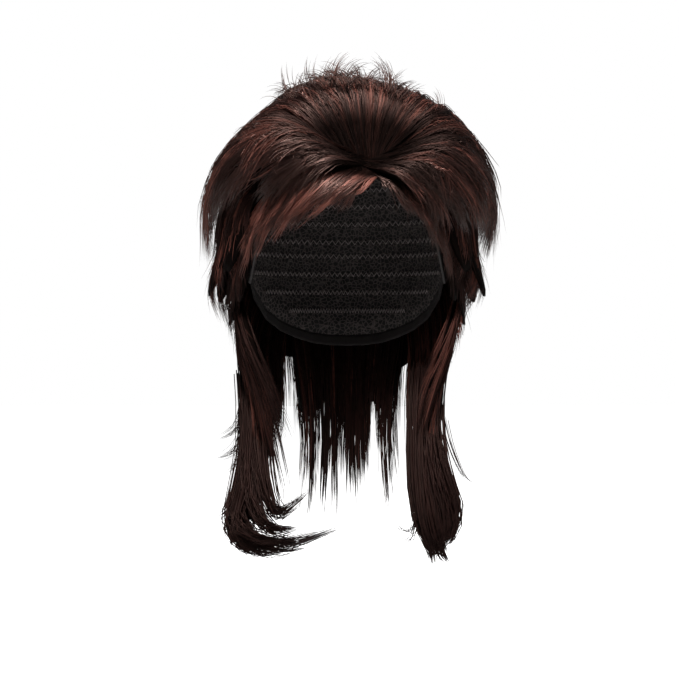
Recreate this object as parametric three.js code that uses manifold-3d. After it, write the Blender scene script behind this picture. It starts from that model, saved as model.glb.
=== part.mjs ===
// A layered wig, short over the head and long at the nape, in millimetres, +Z up and the face towards -Y.
// The origin is the inside top of the cap, where the crown of a head sits.
// A stretch cap and its elastic edge carry rows of hair. Each row is one solid: locks of hair that are
// fused to the weft strip that holds their roots. A row drapes over the roots of the row below it.
import * as THREE from "three";
import { mergeVertices } from "three/addons/utils/BufferGeometryUtils.js";
import Module from "manifold-3d";

// The head that the wig fits, which isn't built. Its front and back are measured from the ears.
const HEAD_WIDTH = 154;
const HEAD_DEPTH = 188;
const HEAD_FRONT = 0.495 * HEAD_DEPTH;
const HEAD_BACK = HEAD_DEPTH - HEAD_FRONT;
const CROWN_HEIGHT = 95;
const TAIL_DROP = 239;

// The cap and its edge.
const CAP_WALL = 2;
const EDGE_BAND_WIDTH = 8;
const EDGE_BAND_THICKNESS = 1.6;

// The hair.
const LOCK_THICKNESS = 8;
const LAYER_GAP = 1.2;
const WEFT_WIDTH = 9;
const WEFT_THICKNESS = 2.4;
const TIP_THICKNESS = 1.6;
const CLEARANCE = 0.4;
const SEAT_GAP = 0.7;

const HAIR_COLOUR = 0x2a1714;
const CAP_COLOUR = 0x17110f;
const BAND_COLOUR = 0x1d1613;

const degrees = (angle) => (angle * Math.PI) / 180;
const smooth = (share) => {
  const held = Math.min(1, Math.max(0, share));
  return held * held * (3 - 2 * held);
};

// Levels run down the head: 0 is its top, 1 is where it is widest, and 2 is as low as the tail hangs. A drop
// is the length along the head from its top to a level, and no lock runs nearer the top than TOP_LEVEL.
const TOP_LEVEL = 0.001;
const CROWN_ARC = (Math.PI / 2) * Math.hypot(HEAD_WIDTH / 2, CROWN_HEIGHT) * Math.SQRT1_2;
const dropOf = (level) => (level <= 1 ? level * CROWN_ARC : CROWN_ARC + (level - 1) * TAIL_DROP);
const levelOf = (drop) => (drop <= CROWN_ARC ? drop / CROWN_ARC : 1 + (drop - CROWN_ARC) / TAIL_DROP);

// Sections of head and neck under the widest level, as shares of the head's half width, front and back.
const NECK_SECTIONS = [
  { level: 1.0, half: 1.0, front: 1.0, back: 1.0 },
  { level: 1.15, half: 0.985, front: 0.96, back: 0.93 },
  { level: 1.3, half: 0.9, front: 0.84, back: 0.77 },
  { level: 1.42, half: 0.8, front: 0.66, back: 0.65 },
  { level: 1.55, half: 0.74, front: 0.5, back: 0.62 },
  { level: 1.7, half: 0.73, front: 0.46, back: 0.64 },
  { level: 1.85, half: 0.78, front: 0.5, back: 0.7 },
  { level: 2.0, half: 0.9, front: 0.62, back: 0.8 },
];

// A smooth curve through a table's rows: the value of one column at a place between rows.
function along(table, key, column, place) {
  const last = table.length - 1;
  if (place <= table[0][key]) return table[0][column];
  if (place >= table[last][key]) return table[last][column];
  let row = 0;
  while (place > table[row + 1][key]) row += 1;
  const slope = (index) => {
    if (index === 0 || index === last) return 0;
    const rise = table[index + 1][column] - table[index - 1][column];
    return rise / (table[index + 1][key] - table[index - 1][key]);
  };
  const span = table[row + 1][key] - table[row][key];
  const share = (place - table[row][key]) / span;
  const square = share * share;
  const cube = square * share;
  return (
    (2 * cube - 3 * square + 1) * table[row][column] +
    (cube - 2 * square + share) * span * slope(row) +
    (3 * square - 2 * cube) * table[row + 1][column] +
    (cube - square) * span * slope(row + 1)
  );
}

// The place on the head at an azimuth and a level, and the way out of it. Azimuth 0 is the face, 90 is +X.
function headPlace(azimuth, level) {
  const turn = degrees(azimuth);
  const depth = Math.cos(turn) > 0 ? HEAD_FRONT : HEAD_BACK;
  const side = Math.cos(turn) > 0 ? "front" : "back";
  const under = Math.max(1, level);
  const polar = degrees(90 * Math.min(1, level));
  const halfX = (HEAD_WIDTH / 2) * along(NECK_SECTIONS, "level", "half", under);
  const halfY = depth * along(NECK_SECTIONS, "level", side, under);
  const height = level <= 1 ? CROWN_HEIGHT * Math.cos(polar) : 0;
  const place = new THREE.Vector3(
    halfX * Math.sin(polar) * Math.sin(turn),
    -halfY * Math.sin(polar) * Math.cos(turn),
    level <= 1 ? height - CROWN_HEIGHT : -CROWN_HEIGHT - (level - 1) * TAIL_DROP,
  );
  const out = new THREE.Vector3(
    place.x / halfX ** 2,
    place.y / halfY ** 2,
    height / CROWN_HEIGHT ** 2,
  ).normalize();
  return { place, out };
}

const over = (azimuth, level, lift) => {
  const { place, out } = headPlace(azimuth, level);
  return place.addScaledVector(out, lift);
};

// How far above the head a layer of hair lies. Layer 0 rests on the cap.
const LAYER_STEP = LOCK_THICKNESS + LAYER_GAP;
const liftOf = (layer) => CAP_WALL + SEAT_GAP + layer * LAYER_STEP;

const wasm = await Module();
wasm.setup();

function solidOf(geometry) {
  const bare = geometry.clone();
  bare.deleteAttribute("normal");
  bare.deleteAttribute("uv");
  const merged = mergeVertices(bare, 1e-4);
  const mesh = new wasm.Mesh({
    numProp: 3,
    vertProperties: new Float32Array(merged.attributes.position.array),
    triVerts: new Uint32Array(merged.index.array),
  });
  return new wasm.Manifold(mesh);
}

function geometryOf(solid) {
  const mesh = solid.getMesh();
  const positions = new Float32Array(mesh.numVert * 3);
  for (let vertex = 0; vertex < mesh.numVert; vertex += 1) {
    const start = vertex * mesh.numProp;
    positions.set(mesh.vertProperties.subarray(start, start + 3), vertex * 3);
  }
  const geometry = new THREE.BufferGeometry();
  geometry.setAttribute("position", new THREE.BufferAttribute(positions, 3));
  geometry.setIndex(new THREE.BufferAttribute(mesh.triVerts, 1));
  geometry.computeVertexNormals();
  return geometry;
}

// A closed skin over a loop of equal rings of points.
function ringed(rings) {
  const size = rings[0].length;
  const faces = [];
  for (let ring = 0; ring < rings.length; ring += 1) {
    const here = ring * size;
    const next = ((ring + 1) % rings.length) * size;
    for (let corner = 0; corner < size; corner += 1) {
      const beside = (corner + 1) % size;
      faces.push(here + corner, here + beside, next + beside);
      faces.push(here + corner, next + beside, next + corner);
    }
  }
  const geometry = new THREE.BufferGeometry().setFromPoints(rings.flat());
  geometry.setIndex(faces);
  return geometry;
}

// A closed wall between two sheets, each a list of equal rows of points.
function walled(outer, inner) {
  const rows = outer.length;
  const size = outer[0].length;
  const faces = [];
  const top = (row, column) => row * size + column;
  const under = (row, column) => (rows + row) * size + column;
  const quad = (one, two, three, four) => faces.push(one, two, three, one, three, four);
  for (let row = 0; row < rows - 1; row += 1) {
    for (let column = 0; column < size - 1; column += 1) {
      quad(top(row, column), top(row, column + 1), top(row + 1, column + 1), top(row + 1, column));
      quad(under(row, column), under(row + 1, column), under(row + 1, column + 1), under(row, column + 1));
    }
    quad(top(row, 0), top(row + 1, 0), under(row + 1, 0), under(row, 0));
    quad(top(row, size - 1), under(row, size - 1), under(row + 1, size - 1), top(row + 1, size - 1));
  }
  for (let column = 0; column < size - 1; column += 1) {
    const end = rows - 1;
    quad(top(0, column), under(0, column), under(0, column + 1), top(0, column + 1));
    quad(top(end, column), top(end, column + 1), under(end, column + 1), under(end, column));
  }
  const geometry = new THREE.BufferGeometry().setFromPoints([...outer.flat(), ...inner.flat()]);
  geometry.setIndex(faces);
  return geometry;
}

const outward = (geometry) => {
  const solid = solidOf(geometry);
  if (solid.volume() > 0) return solid;
  const turned = geometry.clone();
  const index = Array.from(turned.index.array);
  for (let face = 0; face < index.length; face += 3) {
    [index[face + 1], index[face + 2]] = [index[face + 2], index[face + 1]];
  }
  turned.setIndex(index);
  return solidOf(turned);
};

// Edge of the cap: low at the nape, cut up round the ears, down in a tab before them, up at the hairline.
const CAP_EDGE = [
  { azimuth: 0, level: 0.57 },
  { azimuth: 45, level: 0.74 },
  { azimuth: 68, level: 1.08 },
  { azimuth: 92, level: 0.95 },
  { azimuth: 118, level: 1.16 },
  { azimuth: 150, level: 1.25 },
  { azimuth: 180, level: 1.27 },
];
const EDGE_STEPS = 32;
const CAP_RINGS = 6;
const edgeLevel = (azimuth) => {
  const around = Math.abs(((azimuth + 540) % 360) - 180);
  return along(CAP_EDGE, "azimuth", "level", around);
};

// The stretch cap: a thin dome with an open face and nape. `grow` swells it, to keep the hair clear of it.
function makeCap(grow = 0) {
  const points = [over(0, 0, -grow), over(0, 0, CAP_WALL + grow)];
  const faces = [];
  const at = (skin, ring, step) => 2 + (skin * CAP_RINGS + ring - 1) * EDGE_STEPS + (step % EDGE_STEPS);
  for (const lift of [-grow, CAP_WALL + grow]) {
    for (let ring = 1; ring <= CAP_RINGS; ring += 1) {
      for (let step = 0; step < EDGE_STEPS; step += 1) {
        const azimuth = (360 * step) / EDGE_STEPS;
        const edge = levelOf(dropOf(edgeLevel(azimuth)) + grow);
        points.push(over(azimuth, (edge * ring) / CAP_RINGS, lift));
      }
    }
  }
  for (let step = 0; step < EDGE_STEPS; step += 1) {
    faces.push(0, at(0, 1, step + 1), at(0, 1, step));
    faces.push(1, at(1, 1, step), at(1, 1, step + 1));
    for (let ring = 1; ring < CAP_RINGS; ring += 1) {
      faces.push(at(0, ring, step), at(0, ring, step + 1), at(0, ring + 1, step + 1));
      faces.push(at(0, ring, step), at(0, ring + 1, step + 1), at(0, ring + 1, step));
      faces.push(at(1, ring, step), at(1, ring + 1, step + 1), at(1, ring, step + 1));
      faces.push(at(1, ring, step), at(1, ring + 1, step), at(1, ring + 1, step + 1));
    }
    faces.push(at(0, CAP_RINGS, step), at(0, CAP_RINGS, step + 1), at(1, CAP_RINGS, step + 1));
    faces.push(at(0, CAP_RINGS, step), at(1, CAP_RINGS, step + 1), at(1, CAP_RINGS, step));
  }
  const geometry = new THREE.BufferGeometry().setFromPoints(points);
  geometry.setIndex(faces);
  return outward(geometry);
}

// The elastic band that carries on from the cap's edge all round.
function makeEdgeBand(grow = 0) {
  const rings = [];
  const near = CLEARANCE - grow;
  const far = CLEARANCE + EDGE_BAND_WIDTH + grow;
  for (let step = 0; step < EDGE_STEPS; step += 1) {
    const azimuth = (360 * step) / EDGE_STEPS;
    const edge = dropOf(edgeLevel(azimuth));
    const corner = (drop, lift) => over(azimuth, levelOf(edge + drop), lift);
    rings.push([
      corner(near, -grow),
      corner(far, -grow),
      corner(far, EDGE_BAND_THICKNESS + grow),
      corner(near, EDGE_BAND_THICKNESS + grow),
    ]);
  }
  return outward(ringed(rings));
}

// Columns down one lock, placed in lock widths from its middle: how high each stands, and how far it reaches.
const LOCK_COLUMNS = [
  { beside: -0.5, height: 0.5, reach: 0.76 },
  { beside: -0.2, height: 0.95, reach: 0.91 },
  { beside: 0.12, height: 1, reach: 1 },
];

// Sections of a lock from its root to its tip: its thickness there, and how plainly its ridge shows.
const LOCK_SECTIONS = [
  { along: 0.2, full: 0.75, ridge: 0.4 },
  { along: 0.42, full: 1, ridge: 1 },
  { along: 0.66, full: 0.95, ridge: 1 },
  { along: 0.86, full: 0.62, ridge: 1 },
  { along: 1, full: 0.2, ridge: 1 },
];

// A row's table has these columns for each lock. A lock that leaves one out has its usual value.
const LOCK_PLACES = ["azimuth", "root", "toAzimuth", "tip"];
const LOCK_SHAPES = ["bow", "layer", "tipLayer", "thick", "rise", "flick"];
const LOCK_USUAL = { bow: 0, thick: 1, rise: 0.3, flick: 0 };

// A swollen copy of a row, which keeps its neighbours clear, is wider at each side by this share of a lock,
// and grows out and down by these multiples of the clearance. Cuts leave no detail finer than a sliver.
const SWELL_SIDE = 0.05;
const SWELL_OUT = 1.4;
const SWELL_END = 2;
const SLIVER = 0.06;

// A point on a flat map of the head, in millimetres from its top, so that a lock may run over the top.
const onMap = (azimuth, drop) =>
  new THREE.Vector2(drop * Math.sin(degrees(azimuth)), -drop * Math.cos(degrees(azimuth)));

// The columns of a row, each with the values of a lock that is mixed from its neighbours in the row's table.
function columnsOf(row, room) {
  const spots = row.flatMap((_, index) =>
    LOCK_COLUMNS.map(({ beside, height, reach }) => ({ spot: index + beside, height, reach })),
  );
  const edge = spots[0];
  spots.push({ ...edge, spot: row.length - 0.5 });
  if (room > 0) {
    spots.unshift({ ...edge, spot: edge.spot - SWELL_SIDE });
    spots.push({ ...edge, spot: row.length - 0.5 + SWELL_SIDE });
  }
  return spots.map(({ spot, height, reach }) => {
    const index = Math.min(row.length - 2, Math.max(0, Math.floor(spot)));
    const column = { height, reach };
    for (const name of [...LOCK_PLACES, ...LOCK_SHAPES]) {
      const here = row[index][name] ?? LOCK_USUAL[name];
      const next = row[index + 1][name] ?? LOCK_USUAL[name];
      column[name] = here + (next - here) * (spot - index);
    }
    return column;
  });
}

// The line of a column. It leaves its root at `azimuth` and `root`, rises to `layer` over the first `rise` of
// its length, and ends at `toAzimuth`, `tip` and `tipLayer`. It bows sideways by `bow` of its length, and its
// end turns sideways by `flick` degrees. `ahead` moves the place along the line, in millimetres.
function columnPlace(column, share, ahead) {
  const from = onMap(column.azimuth, dropOf(column.root));
  const way = onMap(column.toAzimuth, dropOf(column.tip)).sub(from);
  const spot = from.clone().addScaledVector(way, share + ahead / way.length());
  const aside = column.bow * 4 * share * (1 - share);
  spot.add(new THREE.Vector2(way.y, -way.x).multiplyScalar(aside));
  const end = smooth((share - 0.6) / 0.4);
  const azimuth = (Math.atan2(spot.x, -spot.y) * 180) / Math.PI + column.flick * end;
  const risen = smooth(share / column.rise);
  const ended = smooth((share - 0.5) / 0.5);
  const layer = column.layer * risen + (column.tipLayer - column.layer) * ended;
  return { azimuth, level: Math.max(TOP_LEVEL, levelOf(spot.length())), lift: liftOf(layer) };
}

// One row of locks, fused at their roots to the flat weft that is sewn to the cap, and at their sides to each
// other. Its lower edge is long at each lock's ridge and short between locks. `room` swells it, to keep what
// lies under it clear.
function makeRow(row, room = 0) {
  const columns = columnsOf(row, room);
  const outer = [];
  const inner = [];
  const addSection = (share, ahead, thickOf) => {
    const places = columns.map((column) => columnPlace(column, share * column.reach, ahead));
    const raised = (index) => thickOf(columns[index]) + SWELL_OUT * room;
    outer.push(places.map(({ azimuth, level, lift }, index) => over(azimuth, level, lift + raised(index))));
    inner.push(places.map(({ azimuth, level, lift }) => over(azimuth, level, lift - SWELL_OUT * room)));
  };
  addSection(0, -WEFT_WIDTH - room, () => WEFT_THICKNESS);
  addSection(0, 0, () => WEFT_THICKNESS);
  for (const { along: share, full, ridge } of LOCK_SECTIONS) {
    const ahead = share === 1 ? SWELL_END * room : 0;
    addSection(share, ahead, ({ thick, height }) => {
      const domed = 1 - ridge * (1 - height);
      return Math.max(TIP_THICKNESS, LOCK_THICKNESS * thick * full * domed);
    });
  }
  return outward(walled(outer, inner));
}

// The short layer swept down over the forehead, from the parting to the wearer's right temple.
const FRINGE = [
  { azimuth: 14, root: 0.66, toAzimuth: -8, tip: 0.82, bow: -0.04, layer: 0.15, tipLayer: 0.3, thick: 0.5 },
  { azimuth: 3, root: 0.64, toAzimuth: -22, tip: 0.88, bow: -0.06, layer: 0.15, tipLayer: 0.35, thick: 0.55 },
  { azimuth: -9, root: 0.63, toAzimuth: -35, tip: 0.92, bow: -0.07, layer: 0.15, tipLayer: 0.45, thick: 0.6 },
  { azimuth: -22, root: 0.64, toAzimuth: -46, tip: 0.97, bow: -0.07, layer: 0.15, tipLayer: 0.6, thick: 0.6 },
  { azimuth: -38, root: 0.68, toAzimuth: -56, tip: 1.02, bow: -0.06, layer: 0.15, tipLayer: 0.6, thick: 0.6 },
];

// The layer that frames the forehead on the other side of the parting.
const TEMPLE = [
  { azimuth: 21, root: 0.66, toAzimuth: 33, tip: 0.84, bow: 0.08, layer: 0.15, tipLayer: 0.3, thick: 0.5 },
  { azimuth: 32, root: 0.67, toAzimuth: 46, tip: 0.96, bow: 0.08, layer: 0.15, tipLayer: 0.4, thick: 0.55 },
  { azimuth: 44, root: 0.7, toAzimuth: 56, tip: 1.06, bow: 0.06, layer: 0.15, tipLayer: 0.5, thick: 0.6 },
];

const mirrored = (rows) =>
  rows.map((lock) => ({
    ...lock,
    azimuth: -lock.azimuth,
    toAzimuth: -lock.toAzimuth,
    bow: -(lock.bow ?? 0),
    flick: -(lock.flick ?? 0),
  }));

// The layer before and over the ear, from the wearer's left. Its mirror is on the right.
const SIDE_LOW = [
  { azimuth: 60, root: 0.76, toAzimuth: 72, tip: 1.22, bow: 0.03, layer: 0.05, tipLayer: 0.5, thick: 0.8 },
  { azimuth: 73, root: 0.79, toAzimuth: 85, tip: 1.27, bow: 0.03, layer: 0.05, tipLayer: 0.8, thick: 0.8 },
  { azimuth: 87, root: 0.8, toAzimuth: 98, tip: 1.3, bow: 0.03, layer: 0.05, tipLayer: 1, thick: 0.8 },
  { azimuth: 101, root: 0.8, toAzimuth: 110, tip: 1.33, bow: 0, layer: 0.05, tipLayer: 1, thick: 0.8 },
];

// The full layer above it.
const SIDE_MIDDLE = [
  { azimuth: 52, root: 0.64, toAzimuth: 70, tip: 1.1, bow: 0.05, layer: 0.85, tipLayer: 1.3, thick: 0.8 },
  { azimuth: 68, root: 0.62, toAzimuth: 84, tip: 1.17, bow: 0.04, layer: 1, tipLayer: 2.1, thick: 1.1 },
  { azimuth: 85, root: 0.62, toAzimuth: 98, tip: 1.18, bow: 0.03, layer: 1, tipLayer: 2.4, thick: 1.1 },
  { azimuth: 102, root: 0.62, toAzimuth: 111, tip: 1.2, bow: 0, layer: 1, tipLayer: 2.3, thick: 1.1 },
];

// The outer layer, combed to each side from the whorl over the forehead.
const SIDE_TOP_LEFT = [
  { azimuth: 16, root: 0.62, toAzimuth: 56, tip: 0.9, bow: 0.06, layer: 1.6, tipLayer: 2, thick: 1.2 },
  { azimuth: 21, root: 0.6, toAzimuth: 71, tip: 0.97, bow: 0.05, layer: 2.2, tipLayer: 2.8, thick: 1.6 },
  { azimuth: 27, root: 0.57, toAzimuth: 86, tip: 0.95, bow: 0.04, layer: 2.5, tipLayer: 3, thick: 1.7 },
  { azimuth: 33, root: 0.53, toAzimuth: 101, tip: 0.96, bow: 0.02, layer: 2.6, tipLayer: 2.9, thick: 1.7 },
  { azimuth: 39, root: 0.48, toAzimuth: 116, tip: 0.96, layer: 2.7, tipLayer: 2.7, thick: 1.6 },
];
const SIDE_TOP_RIGHT = [
  { azimuth: 7, root: 0.6, toAzimuth: -46, tip: 0.83, bow: -0.05, layer: 1.4, tipLayer: 1.7, thick: 1.2 },
  { azimuth: 1, root: 0.565, toAzimuth: -64, tip: 0.9, bow: -0.06, layer: 2, tipLayer: 2.4, thick: 1.6 },
  { azimuth: -5, root: 0.525, toAzimuth: -79, tip: 0.93, bow: -0.05, layer: 2.4, tipLayer: 2.8, thick: 1.6 },
  { azimuth: -10, root: 0.48, toAzimuth: -95, tip: 0.93, bow: -0.03, layer: 2.6, tipLayer: 2.7, thick: 1.6 },
  { azimuth: -14, root: 0.43, toAzimuth: -112, tip: 0.94, layer: 2.7, tipLayer: 2.6, thick: 1.6 },
];

// The long locks behind each ear, which lie forward over the shoulders.
const TAIL_RIGHT = [
  { azimuth: -112, root: 1.08, toAzimuth: -50, tip: 1.88, bow: 0.04, layer: 0.1, tipLayer: 0.3, flick: 12 },
  { azimuth: -122, root: 1.1, toAzimuth: -70, tip: 1.93, bow: 0.03, layer: 0.3, tipLayer: 1.2, thick: 1.1 },
  { azimuth: -132, root: 1.12, toAzimuth: -90, tip: 1.9, bow: 0.02, layer: 0.9, tipLayer: 2.6, thick: 1.2 },
  { azimuth: -143, root: 1.14, toAzimuth: -112, tip: 1.93, bow: 0.02, layer: 0.6, tipLayer: 2, thick: 1.1 },
];
const TAIL_LEFT = [
  { azimuth: 112, root: 1.08, toAzimuth: 50, tip: 1.88, bow: -0.04, layer: 0.1, tipLayer: 0.2, thick: 0.9 },
  { azimuth: 122, root: 1.1, toAzimuth: 62, tip: 2, bow: -0.04, layer: 0.2, tipLayer: 0.6, thick: 1.1 },
  { azimuth: 132, root: 1.12, toAzimuth: 84, tip: 1.94, bow: -0.03, layer: 0.3, tipLayer: 1.8, thick: 1.1 },
  { azimuth: 143, root: 1.14, toAzimuth: 108, tip: 1.93, bow: -0.02, layer: 0.3, tipLayer: 1.8, thick: 1.1 },
];

// Rows across the back, spread evenly over an arc of so many degrees. Every other lock is longer.
const LONGER = 0.06;
const BACK_ROWS = {
  back_top: { spread: 124, locks: 6, root: 0.2, tip: 0.98, layer: 2.4, tipLayer: 3, thick: 1.3, rise: 0.14 },
  back_middle: { spread: 116, locks: 6, root: 0.55, tip: 1.3, layer: 1.5, tipLayer: 2.4, thick: 0.8 },
  back_low: { spread: 106, locks: 6, root: 0.86, tip: 1.6, layer: 0.9, tipLayer: 2, thick: 0.9 },
  tail_back: { spread: 52, locks: 4, root: 1.14, tip: 1.94, layer: 0, tipLayer: 1 },
};
const backRow = ({ spread, locks, tip, ...rest }) =>
  Array.from({ length: locks }, (_, index) => {
    const azimuth = 180 + spread * (index / (locks - 1) - 0.5);
    return { ...rest, azimuth, toAzimuth: azimuth, tip: tip + LONGER * (index % 2) };
  });

// The tuft combed up and back from the whorl over the top of the head.
const TOP_TUFT = [
  { azimuth: -7, root: 0.49, toAzimuth: -118, tip: 0.64, layer: 2.5, tipLayer: 3.9, thick: 1.4, rise: 0.35 },
  { azimuth: 1, root: 0.47, toAzimuth: -137, tip: 0.53, layer: 2.4, tipLayer: 3.9, thick: 1.4, rise: 0.35 },
  { azimuth: 10, root: 0.46, toAzimuth: -160, tip: 0.38, layer: 2.4, tipLayer: 3.8, thick: 1.4, rise: 0.35 },
  { azimuth: 19, root: 0.46, toAzimuth: -197, tip: 0.36, layer: 2.4, tipLayer: 3.9, thick: 1.4, rise: 0.35 },
  { azimuth: 27, root: 0.47, toAzimuth: -220, tip: 0.53, layer: 2.5, tipLayer: 4, thick: 1.4, rise: 0.35 },
  { azimuth: 33, root: 0.5, toAzimuth: -242, tip: 0.67, layer: 2.7, tipLayer: 4.1, thick: 1.4, rise: 0.35 },
];

// Rows from the outside in. Each is cut clear of the rows before it.
const HAIR_ROWS = {
  top_tuft: TOP_TUFT,
  side_top_left: SIDE_TOP_LEFT,
  side_top_right: SIDE_TOP_RIGHT,
  back_top: backRow(BACK_ROWS.back_top),
  side_middle_left: SIDE_MIDDLE,
  side_middle_right: mirrored(SIDE_MIDDLE),
  back_middle: backRow(BACK_ROWS.back_middle),
  fringe: FRINGE,
  temple: TEMPLE,
  side_low_left: SIDE_LOW,
  side_low_right: mirrored(SIDE_LOW),
  back_low: backRow(BACK_ROWS.back_low),
  tail_left: TAIL_LEFT,
  tail_right: TAIL_RIGHT,
  tail_back: backRow(BACK_ROWS.tail_back),
};

// A row that its neighbours cut keeps its largest body, and loses the crumbs and the slivers along the cuts.
function makeHair() {
  const made = {};
  let taken = makeCap(CLEARANCE).add(makeEdgeBand(CLEARANCE));
  for (const [name, row] of Object.entries(HAIR_ROWS)) {
    const bodies = makeRow(row).subtract(taken).decompose();
    bodies.sort((one, other) => other.volume() - one.volume());
    made[name] = bodies[0].simplify(SLIVER);
    taken = taken.add(makeRow(row, CLEARANCE));
  }
  return made;
}

const wig = new THREE.Group();
const addNode = (name, solid, colour, roughness) => {
  const material = new THREE.MeshStandardMaterial({ color: colour, roughness, metalness: 0 });
  const mesh = new THREE.Mesh(geometryOf(solid), material);
  mesh.name = name;
  wig.add(mesh);
};
addNode("cap", makeCap(), CAP_COLOUR, 0.9);
addNode("edge_band", makeEdgeBand(), BAND_COLOUR, 0.85);
for (const [name, solid] of Object.entries(makeHair())) addNode(name, solid, HAIR_COLOUR, 0.45);

export default wig;
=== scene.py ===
"""A layered wig, short over the head and long at the nape, shown held up with nothing in its cap."""
import math

import bpy
import numpy as np
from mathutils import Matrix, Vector


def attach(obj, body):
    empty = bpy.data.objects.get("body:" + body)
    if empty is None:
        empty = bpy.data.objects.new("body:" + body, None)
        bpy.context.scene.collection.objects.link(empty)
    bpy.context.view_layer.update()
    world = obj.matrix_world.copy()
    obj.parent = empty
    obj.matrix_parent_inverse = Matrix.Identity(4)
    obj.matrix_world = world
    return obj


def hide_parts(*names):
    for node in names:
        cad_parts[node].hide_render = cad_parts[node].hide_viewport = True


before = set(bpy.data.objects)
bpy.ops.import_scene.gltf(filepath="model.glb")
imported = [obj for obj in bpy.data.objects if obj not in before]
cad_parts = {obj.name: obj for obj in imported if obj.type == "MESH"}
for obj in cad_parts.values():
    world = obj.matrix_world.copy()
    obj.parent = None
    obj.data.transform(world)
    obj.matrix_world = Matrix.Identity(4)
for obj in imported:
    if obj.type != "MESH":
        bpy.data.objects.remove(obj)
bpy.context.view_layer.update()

# The cap is a thin dome of stretch net, knitted in black yarn and left open at the front and the nape.
# The wefts of hair are sewn to its outside. Its inside shows, because nothing fills it.
WELD_DISTANCE = 0.00002
ROUNDING_LEVELS = 2
RIM_ANGLE = math.radians(50)
NET_CELLS_PER_METRE = 330
NET_CORD = 0.16
NET_RELIEF = 0.0003
YARN_DARK = (0.004, 0.0035, 0.0035, 1)
YARN_INSIDE_PAINTED_LIGHT = (0.06, 0.05, 0.047, 1)
YARN_OUTSIDE_PAINTED_SHADE = (0.012, 0.01, 0.0095, 1)
CAP_MIDDLE = Vector((0, 0, -0.1))


def rounded_copy(node_name, piece_name):
    """A copy of a CAD node as one welded mesh, rounded by subdivision."""
    bpy.ops.object.select_all(action="DESELECT")
    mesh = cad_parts[node_name].data.copy()
    mesh.materials.clear()
    piece = bpy.data.objects.new(piece_name, mesh)
    bpy.context.collection.objects.link(piece)
    bpy.context.view_layer.objects.active = piece
    piece.select_set(True)
    bpy.ops.mesh.customdata_custom_splitnormals_clear()
    bpy.ops.object.mode_set(mode="EDIT")
    bpy.ops.mesh.select_all(action="SELECT")
    bpy.ops.mesh.remove_doubles(threshold=WELD_DISTANCE)
    bpy.ops.mesh.tris_convert_to_quads()
    bpy.ops.mesh.select_all(action="DESELECT")
    bpy.ops.mesh.edges_select_sharp(sharpness=RIM_ANGLE)
    bpy.ops.transform.edge_crease(value=1)
    bpy.ops.object.mode_set(mode="OBJECT")
    rounding = piece.modifiers.new("rounding", "SUBSURF")
    rounding.levels = ROUNDING_LEVELS
    rounding.render_levels = ROUNDING_LEVELS
    bpy.ops.object.modifier_apply(modifier="rounding")
    bpy.ops.object.shade_smooth()
    return piece


def new_material(name, roughness, specular, tint=(1, 1, 1, 1)):
    """A material with a Principled BSDF, and the parts that the rest is wired to."""
    material = bpy.data.materials.new(name)
    material.use_nodes = True
    tree = material.node_tree
    shader = tree.nodes["Principled BSDF"]
    shader.inputs["Roughness"].default_value = roughness
    shader.inputs["Specular IOR Level"].default_value = specular
    shader.inputs["Specular Tint"].default_value = tint
    return material, tree, shader


def net_material(name, yarn, shine):
    """Net whose yarn shows round dark holes."""
    material, tree, shader = new_material(name, 0.85, shine)
    place = tree.nodes.new("ShaderNodeTexCoord")
    cells = tree.nodes.new("ShaderNodeTexVoronoi")
    cells.feature = "DISTANCE_TO_EDGE"
    cells.inputs["Scale"].default_value = NET_CELLS_PER_METRE
    cord = tree.nodes.new("ShaderNodeMapRange")
    cord.inputs["From Max"].default_value = NET_CORD
    cord.inputs["To Min"].default_value = 1
    cord.inputs["To Max"].default_value = 0
    colour = tree.nodes.new("ShaderNodeMix")
    colour.data_type = "RGBA"
    colour.inputs["A"].default_value = YARN_DARK
    colour.inputs["B"].default_value = yarn
    relief = tree.nodes.new("ShaderNodeBump")
    relief.inputs["Distance"].default_value = NET_RELIEF
    tree.links.new(place.outputs["Object"], cells.inputs["Vector"])
    tree.links.new(cells.outputs["Distance"], cord.inputs["Value"])
    tree.links.new(cord.outputs["Result"], colour.inputs["Factor"])
    tree.links.new(cord.outputs["Result"], relief.inputs["Height"])
    tree.links.new(colour.outputs["Result"], shader.inputs["Base Color"])
    tree.links.new(relief.outputs["Normal"], shader.inputs["Normal"])
    return material


cap_net = rounded_copy("cap", "cap_net")
# The one black yarn is given two colours: lighter on the inside, as painted light, and darker and duller on
# the outside, as painted shade under the hair.
cap_net.data.materials.append(net_material("net_inside_painted_light", YARN_INSIDE_PAINTED_LIGHT, 0.2))
cap_net.data.materials.append(net_material("net_outside_painted_shade", YARN_OUTSIDE_PAINTED_SHADE, 0.02))
for face in cap_net.data.polygons:
    face.material_index = int(face.normal.dot(face.center - CAP_MIDDLE) > 0)
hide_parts("cap")
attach(cap_net, "root")

# The edge band is a flat elastic tape that runs on from the cap's edge all round, and grips the hairline.
# It is woven with fine ribs across its width.
RIBS_AROUND = 720
RIB_RELIEF = 0.0002
TAPE_DARK = (0.006, 0.005, 0.005, 1)
TAPE_LIGHT = (0.02, 0.016, 0.015, 1)


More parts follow.
